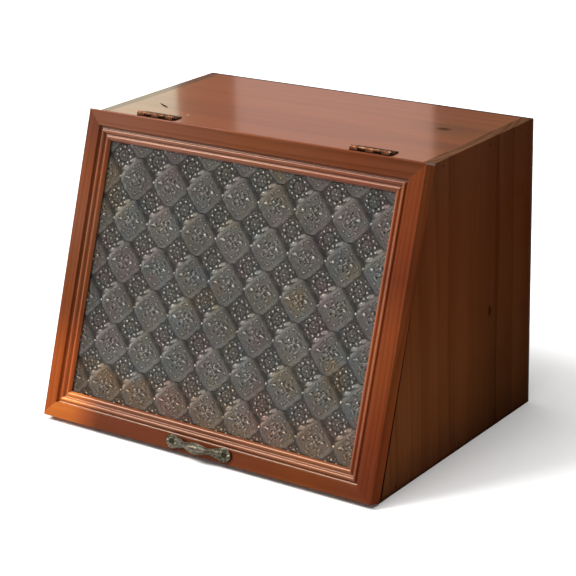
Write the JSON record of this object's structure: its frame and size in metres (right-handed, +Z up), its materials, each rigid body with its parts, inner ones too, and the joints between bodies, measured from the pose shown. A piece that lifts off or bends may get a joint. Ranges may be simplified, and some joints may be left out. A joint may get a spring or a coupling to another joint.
{
  "type": "bread cabinet",
  "caption": "Slope-fronted wooden countertop bread cabinet with a top-hinged lift-up door: mitred moulded frame, patterned glass pane, small bridge pull and butt hinges.",
  "frame": {"origin": "middle of the overall footprint, on the surface the cabinet stands on", "axes": "+X to the right along the door, the longest side; +Y to the back; +Z up"},
  "size_m": [0.402, 0.3154, 0.309],
  "materials": {
    "side_wood": "reddish-brown stain, satin lacquer, upright grain",
    "carcass_wood": "reddish-brown stain, glossy lacquer, grain along the width",
    "door_wood": "orange-brown stain, semi-gloss lacquer",
    "bead_wood": "stained, matt",
    "back_board": "dark stained plywood, matt",
    "pressed_glass": "clear glass pressed with a floral relief",
    "hinge_brass": "antiqued brass, rubbed on the knuckles",
    "pull_bronze": "antique bronze, dark hollows",
    "steel": "plain wire nails, dulled",
    "felt": "dark brown felt"
  },
  "bodies": {
    "cabinet": {"left_side_panel": "side_wood", "right_side_panel": "side_wood", "top_panel": "carcass_wood", "bottom_panel": "carcass_wood", "back_panel": "back_board", "left_side_nails": "steel", "right_side_nails": "steel", "back_panel_tacks": "steel", "left_bumper_pad": "felt", "right_bumper_pad": "felt", "left_hinge_top_leaf": "hinge_brass", "right_hinge_top_leaf": "hinge_brass", "left_hinge_pin": "hinge_brass", "right_hinge_pin": "hinge_brass", "top_leaf_screws": "hinge_brass"},
    "door": {"door_top_rail": "door_wood", "door_bottom_rail": "door_wood", "door_left_stile": "door_wood", "door_right_stile": "door_wood", "mitre_pins": "steel", "glass_pane": "pressed_glass", "glazing_bead_top": "bead_wood", "glazing_bead_bottom": "bead_wood", "glazing_bead_left": "bead_wood", "glazing_bead_right": "bead_wood", "glazing_brads": "steel", "left_hinge_door_leaf": "hinge_brass", "right_hinge_door_leaf": "hinge_brass", "door_leaf_screws": "hinge_brass", "pull_handle": "pull_bronze", "pull_screws": "pull_bronze"}
  },
  "joints": [
    {"name": "door_lift", "type": "hinge", "parent": "cabinet", "child": "door", "pos_m": [0, -0.02958, 0.3068], "axis": [-1, 0, 0], "range_deg": [0, 180]}
  ]
}
